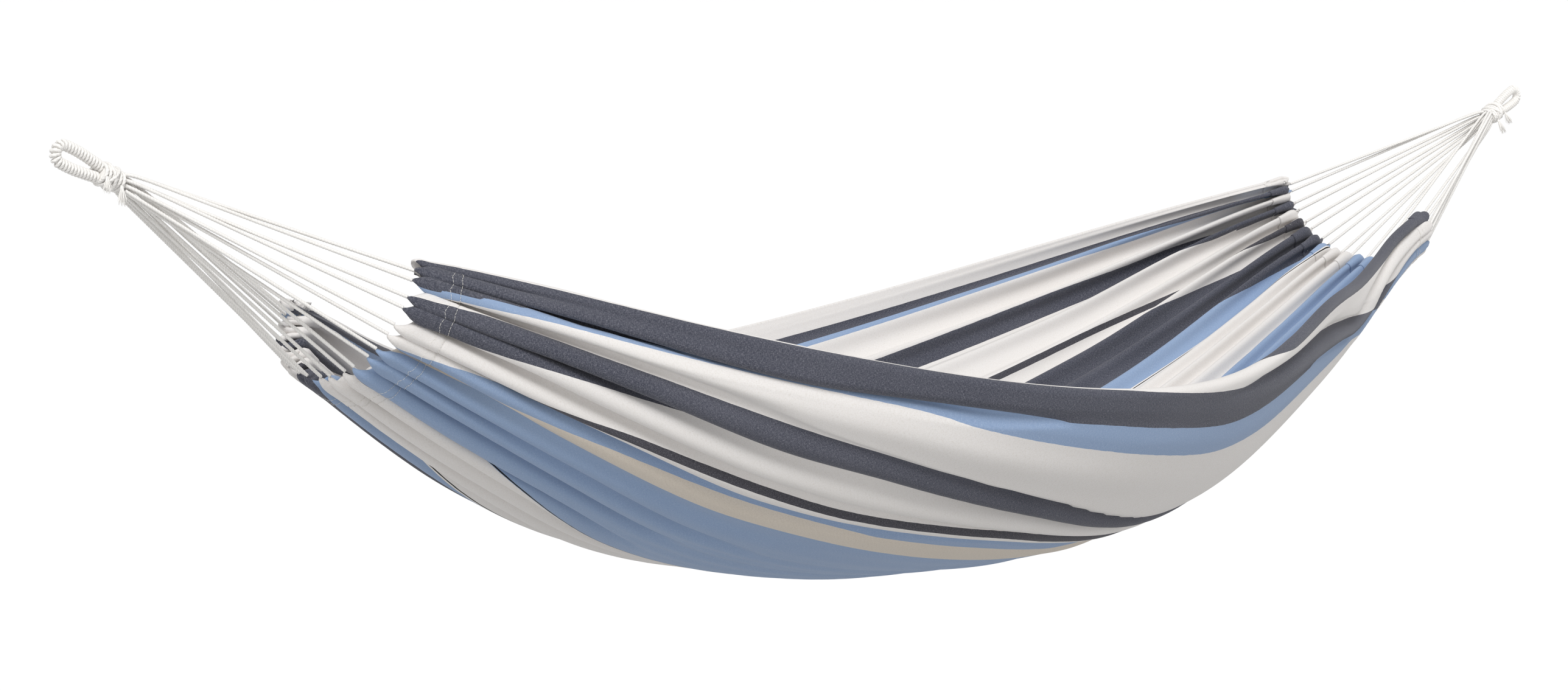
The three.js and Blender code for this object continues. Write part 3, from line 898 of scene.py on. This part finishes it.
def add_cloth():
    rows = cloth_rows()
    distance, height = rows[:, 0], rows[:, 1]
    count = CORDS_PER_FAN * FOLD_SAMPLES + 1
    v = np.linspace(-1, 1, count)
    d_grid, v_grid = np.meshgrid(distance, v, indexing="ij")
    points = cloth_surface(d_grid, v_grid)
    normals = cloth_normal(d_grid, v_grid)
    points = points + normals * height[:, None, None]
    across = stripes_across(d_grid / CLOTH_LENGTH, v_grid)
    front, front_across = rim_flap(points, normals, across, inward=True)
    back, back_across = rim_flap(points[:, ::-1], normals[:, ::-1], across[:, ::-1], inward=False)
    all_points = np.concatenate([front[:, ::-1], points, back], axis=1)
    all_across = np.concatenate([front_across[:, ::-1], across, back_across], axis=1)
    row_count, column_count = all_points.shape[:2]
    faces = grid_faces(row_count, column_count)
    cloth = make_mesh("striped_bed_cloth", all_points.reshape(-1, 3), faces, CLOTH)
    weave = cloth.data.attributes.new("weave", "FLOAT_VECTOR", "POINT")
    along = np.broadcast_to(turned_length(rows)[:, None], all_across.shape)
    values = np.stack([all_across, along, np.zeros_like(along)], axis=-1).astype(np.float32)
    weave.data.foreach_set("vector", values.ravel())
    shell = cloth.modifiers.new("thickness", "SOLIDIFY")
    shell.thickness = CLOTH_THICKNESS
    shell.offset = 0
    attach(cloth, "bed")
    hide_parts("bed_cloth")
    return cloth


def turned_length(rows):
    """Distance along the cloth itself, turned-in hems included."""
    steps = np.hypot(np.diff(rows[:, 0]), np.diff(rows[:, 1]))
    return np.concatenate([[0], np.cumsum(steps)])


ROLL_RADIUS = 0.0085
FLAP_COLUMNS = 18
FLAP_GAP = 0.004  # between the flap and the bed's own surface, once it has settled
FLAP_SETTLES = 0.035  # how far past the roll that is
ROLL_BLEND = 0.012
BACK_SPARE = 0.010  # cloth that rolls over at the back rim even where the back edge lies open


def lying_flap(points, normals, beyond, radius, side):
    """The part of a flap that lies along the bed, beyond metres in from the rim on each row."""
    rows, columns = points.shape[:2]
    span = np.linalg.norm(np.diff(points, axis=1), axis=-1)
    span = np.concatenate([np.zeros((rows, 1)), np.cumsum(span, axis=1)], axis=1)
    gap = 2 * radius + (FLAP_GAP - 2 * radius) * smooth(beyond, 0, FLAP_SETTLES)
    lying = np.empty((rows, 3))
    for i in range(rows):
        column = np.interp(beyond[i], span[i], np.arange(columns))
        j = min(int(column), columns - 2)
        t = column - j
        base = points[i, j] * (1 - t) + points[i, j + 1] * t
        normal = normals[i, j] * (1 - t) + normals[i, j + 1] * t
        lying[i] = base + normal * gap[i] * side
    return lying


def rim_flap(points, normals, across, inward):
    """The strip past a rim: it rolls over and then lies against the bed's own surface."""
    side = -1 if inward else 1
    rim = points[:, 0]
    out = unit(rim - points[:, 3])
    face = normals[:, 0] * side
    face = unit(face - out * np.sum(face * out, axis=-1, keepdims=True))
    width = across[:, 0] if inward else CLOTH_WIDTH - across[:, 0] + BACK_SPARE
    radius = np.minimum(ROLL_RADIUS, width / math.pi)
    new_points = []
    new_across = []
    for k in range(1, FLAP_COLUMNS + 1):
        reach = width * k / FLAP_COLUMNS
        turn = np.minimum(reach / radius, math.pi)
        beyond = np.maximum(reach - math.pi * radius, 0)
        rolled = rim + out * (radius * np.sin(turn))[:, None]
        rolled = rolled + face * (radius * (1 - np.cos(turn)))[:, None]
        rolled = rolled - out * beyond[:, None]
        lying = lying_flap(points, normals, beyond, radius, side)
        blend = smooth(beyond, 0, ROLL_BLEND)[:, None]
        new_points.append(rolled * (1 - blend) + lying * blend)
        new_across.append(across[:, 0] + (-reach if inward else np.minimum(reach, width - BACK_SPARE)))
    return np.stack(new_points, axis=1), np.stack(new_across, axis=1)


cloth = add_cloth()


# ---------------------------------------------------------------- hem cords and stitches


HEM_CORD_INSET = 0.010
HEM_CORD_POINTS = 260
HEM_CORD_ENDS = 0.985  # v of its ends
# The two rows of stitches: how far inside the hem's line, and how far from the cloth's middle.
STITCH_ROWS = ((0.001, 0.0011), (0.014, 0.0016))
STITCHES_PER_ROW = 400
STITCH_ENDS = 0.99
STITCH_LIFT = 0.0005
THREAD_RADIUS = 0.00024


def along_hem(side, inset, end, count):
    """Evenly spaced places along a hem, from rim to rim, inset metres in from its edge."""
    v = np.linspace(-end, end, count)
    return np.full_like(v, inset if side == "left" else CLOTH_LENGTH - inset), v


def add_hem_cords():
    for side in SIDES:
        line = cloth_surface(*along_hem(side, HEM_CORD_INSET, HEM_CORD_ENDS, HEM_CORD_POINTS))
        vertices, faces = rope_tube(line, CORD_DIAMETER / 2, CORD_LAY)
        rope = make_mesh(f"hem_rope_{side}", vertices, faces, COTTON)
        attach(rope, "bed")
        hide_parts(f"{side}_hem_cord")


def stitch(a, b, lift):
    """One lockstitch: a short thread that dips into the cloth at both ends."""
    middle = (a + b) / 2 + lift
    quarter_a = a * 0.72 + b * 0.28 + lift * 0.8
    quarter_b = a * 0.28 + b * 0.72 + lift * 0.8
    return yarn_tube(np.array([a, quarter_a, middle, quarter_b, b]), THREAD_RADIUS)


def add_stitching():
    for side in SIDES:
        parts = []
        for inset, height in STITCH_ROWS:
            d, v = along_hem(side, HEM_DEPTH - inset, STITCH_ENDS, 2 * STITCHES_PER_ROW + 1)
            normal = cloth_normal(d, v)
            middle = cloth_surface(d, v)
            for face in (1, -1):
                surface = middle + normal * face * height
                lift = normal * face * STITCH_LIFT
                for k in range(0, len(v) - 2, 2):
                    a = surface[k] * 0.9 + surface[k + 2] * 0.1
                    b = surface[k] * 0.15 + surface[k + 2] * 0.85
                    parts.append(stitch(a, b, lift[k + 1]))
        vertices, faces = join_parts(parts)
        threads = make_mesh(f"hem_stitches_{side}", vertices, faces, THREAD)
        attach(threads, "bed")
        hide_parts(f"{side}_hem_stitching")


add_hem_cords()
add_stitching()


# ---------------------------------------------------------------- eyes

EYE_ANGLE = math.atan2(NECK_DROP, NECK_REACH)
EYE_ALONG = np.array([math.cos(EYE_ANGLE), 0, -math.sin(EYE_ANGLE)])
EYE_UP = np.array([math.sin(EYE_ANGLE), 0, math.cos(EYE_ANGLE)])
EYE_LENGTH = math.hypot(NECK_REACH, NECK_DROP)
EYE_TUBE = 0.0146  # the loop's thickness, with its winding
LOOP_HALF = 0.0109  # half of its width, between the middles of its two sides
LOOP_POINTS = 160
SERVING_ENDS_AT = 0.051
RING_DIAMETER = 0.0048
RING_CLOSENESS = 0.97  # the turns press a little into each other
EYE_LAY = 0.0125
EYE_RINGS_PER_LAY = 12
NECK_FROM = 0.056
NECK_TURN = dict(wide=0.0150, tall=0.0112, pitch=0.0052, radius=0.0025)
NECK_CROSSING = dict(along=0.014, slant=0.0075, wide=0.0174, tall=0.0136, radius=0.0023)


def eye_point(along, up, y=0.0):
    """A point of the left eye, whose own axis runs from the hook seat down to the neck's end."""
    point = EYE_ALONG * along + EYE_UP * up
    point[1] = y
    return point


def mirror_to_right(vertices, faces):
    """The same piece at the right eye."""
    flipped = np.array(vertices)
    flipped[:, 0] = SPAN - flipped[:, 0]
    return flipped, [tuple(reversed(face)) for face in faces]


def loop_line():
    """Centre line of the loop, from the upper side of the neck round to the lower side."""
    tip = -EYE_TUBE / 2
    round_at = LOOP_HALF + tip
    half = [(tip, 0.0)]
    for degrees in (22, 45, 68, 90):
        angle = math.radians(degrees)
        half.append((round_at - LOOP_HALF * math.cos(angle), LOOP_HALF * math.sin(angle)))
    half += [(0.017, 0.0111), (0.030, 0.0103), (0.042, 0.0089)]
    half += [(SERVING_ENDS_AT, 0.0078), (0.0585, 0.0063)]
    upper = [eye_point(a, b) for a, b in reversed(half[1:])]
    lower = [eye_point(a, -b) for a, b in half]
    return resample(np.array(upper + lower), LOOP_POINTS)


WINDING_STEPS = 16  # points in one turn


def wound_line(centre, wide, tall, pitch):
    """A helix round a centre line, with its radius sideways and upward."""
    turns = path_length(centre) / pitch
    count = int(turns * WINDING_STEPS)
    line = resample(centre, count)
    tangents = unit(np.gradient(line, axis=0))
    side = np.tile(np.array([0.0, 1.0, 0.0]), (count, 1))
    up = unit(np.cross(tangents, side))
    angle = np.linspace(0, TAU * turns, count)
    return line + side * (wide * np.cos(angle))[:, None] + up * (tall * np.sin(angle))[:, None]


def add_eye_piece(name, side, parts, node):
    """One piece of an eye, made for the left eye and mirrored for the right one."""
    vertices, faces = join_parts(parts)
    if side == "right":
        vertices, faces = mirror_to_right(vertices, faces)
    piece = make_mesh(name, vertices, faces, COTTON)
    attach(piece, f"{side}_eye")
    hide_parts(node)


def add_eye_serving(side):
    radius = RING_DIAMETER / 2
    reach = EYE_TUBE / 2 - radius
    winding = wound_line(loop_line(), reach, reach, RING_DIAMETER * RING_CLOSENESS)
    part = rope_tube(winding, radius, EYE_LAY, rings_per_lay=EYE_RINGS_PER_LAY)
    add_eye_piece(f"eye_winding_{side}", side, [part], f"{side}_eye_serving")


def neck_crossing(lean):
    """The line of one slanting turn over the neck's winding."""
    shape = NECK_CROSSING
    points = []
    for a in np.linspace(0, TAU, 48):
        along = NECK_FROM + shape["along"] + shape["slant"] * lean * math.sin(a)
        points.append(eye_point(along, shape["tall"] * math.sin(a), shape["wide"] * math.cos(a)))
    return np.array(points)


def add_neck_whipping(side):
    """Turns of cord round the neck, with two slanting turns over them."""
    neck = np.array([eye_point(a, 0.0) for a in np.linspace(NECK_FROM, EYE_LENGTH - 0.001, 12)])
    turn = NECK_TURN
    winding = wound_line(neck, turn["wide"], turn["tall"], turn["pitch"])
    parts = [rope_tube(winding, turn["radius"], EYE_LAY, rings_per_lay=EYE_RINGS_PER_LAY)]
    for lean in (-1, 1):
        crossing = neck_crossing(lean)
        radius = NECK_CROSSING["radius"]
        parts.append(rope_tube(crossing, radius, EYE_LAY, rings_per_lay=EYE_RINGS_PER_LAY))
    add_eye_piece(f"neck_winding_{side}", side, parts, f"{side}_neck_whipping")


YARNS = 46
YARN_STEPS = 7
YARN_RADII = (0.00045, 0.0004, 0.0001)  # at the root, at 0.8 of its length and at the tip
YARN_CURL = 0.0022
TUFT_AT = -0.0178  # the side of the neck that the frayed ends hang from
TUFT_DIRECTION = (-0.25, -0.35, -0.9)
TUFT_ROOT = 0.0016
TUFT_FLARE = 0.0046


def add_tassel(side, which, along, up, length, seed):
    """The frayed end of the winding cord: a tuft of loose yarns."""
    draw = np.random.default_rng(seed)
    root = eye_point(along, up, TUFT_AT)
    down = unit(np.array(TUFT_DIRECTION))
    aside = unit(np.cross(down, np.array([0.0, 1.0, 0.0])))
    other = np.cross(down, aside)
    steps = np.linspace(0, 1, YARN_STEPS)
    radius = np.interp(steps, (0, 0.8, 1), YARN_RADII)
    parts = []
    for _ in range(YARNS):
        angle = draw.uniform(0, TAU)
        spread = math.sqrt(draw.uniform(0, 1))
        away = (aside * math.cos(angle) + other * math.sin(angle) * 0.6) * spread
        reach = length * draw.uniform(0.7, 1.0)
        curl = (aside * draw.uniform(-1, 1) + other * draw.uniform(-1, 1)) * YARN_CURL
        points = []
        for t in steps:
            flare = TUFT_ROOT + TUFT_FLARE * t**1.3
            points.append(root + down * reach * t + away * flare + curl * math.sin(2.4 * t) * t)
        parts.append(yarn_tube(np.array(points), radius))
    add_eye_piece(f"frayed_end_{side}_{which}", side, parts, f"{side}_tassel_{which}")


for side in SIDES:
    add_eye_serving(side)
    add_neck_whipping(side)
    add_tassel(side, "upper", NECK_FROM + 0.003, -0.004, 0.022, 21)
    add_tassel(side, "lower", EYE_LENGTH - 0.006, -0.006, 0.026, 34)
    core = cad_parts[f"{side}_eye_core"]
    for slot in core.material_slots:
        slot.material = COTTON


# ---------------------------------------------------------------- floor and light

FLOOR = -2.0
FLOOR_HALF = 400.0
FLOOR_WHITE = (0.97, 0.97, 0.97, 1)
FLOOR_PAINTED_SHADOW = (0.40, 0.40, 0.40, 1)  # painted shadow under the hammock, from where it fades out into white
PAINTED_SHADOW_RADIUS = 0.8
PAINTED_SHADOW_FADE = 4.7
WORLD_STRENGTH = 0.56
SUN_FROM = (-0.40, -0.50, 0.76)
SUN_STRENGTH = 2.1
SUN_SPREAD = 30  # degrees


def add_stage():
    w = FLOOR_HALF
    corners = [(-w, -w, FLOOR), (w, -w, FLOOR), (w, w, FLOOR), (-w, w, FLOOR)]
    floor = make_mesh("floor", corners, [(0, 1, 2, 3)], stage_material(), smooth_shading=False)


def stage_material():
    """The pale floor, greyer under the hammock, where a shadow is painted on it."""
    n = Nodes("studio_floor_with_painted_shadow")
    place = n.add("ShaderNodeTexCoord").outputs["Object"]
    from_middle = n.add("ShaderNodeVectorMath", operation="DISTANCE")
    n.put(place, from_middle.inputs[0])
    from_middle.inputs[1].default_value = (SPAN / 2, 0, FLOOR)
    # The painted shadow is grey near the middle of the hammock and fades out into white further away.
    far = n.add("ShaderNodeMapRange", interpolation_type="SMOOTHSTEP")
    n.put(from_middle.outputs["Value"], far.inputs["Value"])
    far.inputs["From Min"].default_value = PAINTED_SHADOW_RADIUS
    far.inputs["From Max"].default_value = PAINTED_SHADOW_RADIUS + PAINTED_SHADOW_FADE
    colour = n.mix(far.outputs[0], FLOOR_PAINTED_SHADOW, FLOOR_WHITE)
    n.put(colour, n.shader.inputs["Base Color"])
    n.shader.inputs["Roughness"].default_value = 0.95
    return n.material


def add_soft_sun():
    """A broad overhead light, like a large soft box."""
    data = bpy.data.lights.new("soft_box", "SUN")
    data.energy = SUN_STRENGTH
    data.angle = math.radians(SUN_SPREAD)
    light = bpy.data.objects.new("soft_box", data)
    light.rotation_mode = "QUATERNION"
    light.rotation_quaternion = Vector(SUN_FROM).to_track_quat("Z", "Y")
    bpy.context.scene.collection.objects.link(light)


def add_world():
    world = bpy.data.worlds.new("studio")
    world.use_nodes = True
    background = world.node_tree.nodes["Background"]
    background.inputs["Color"].default_value = (1.0, 1.0, 1.0, 1)
    background.inputs["Strength"].default_value = WORLD_STRENGTH
    bpy.context.scene.world = world


add_stage()
add_world()
add_soft_sun()

scene = bpy.context.scene
scene.view_settings.view_transform = "Standard"
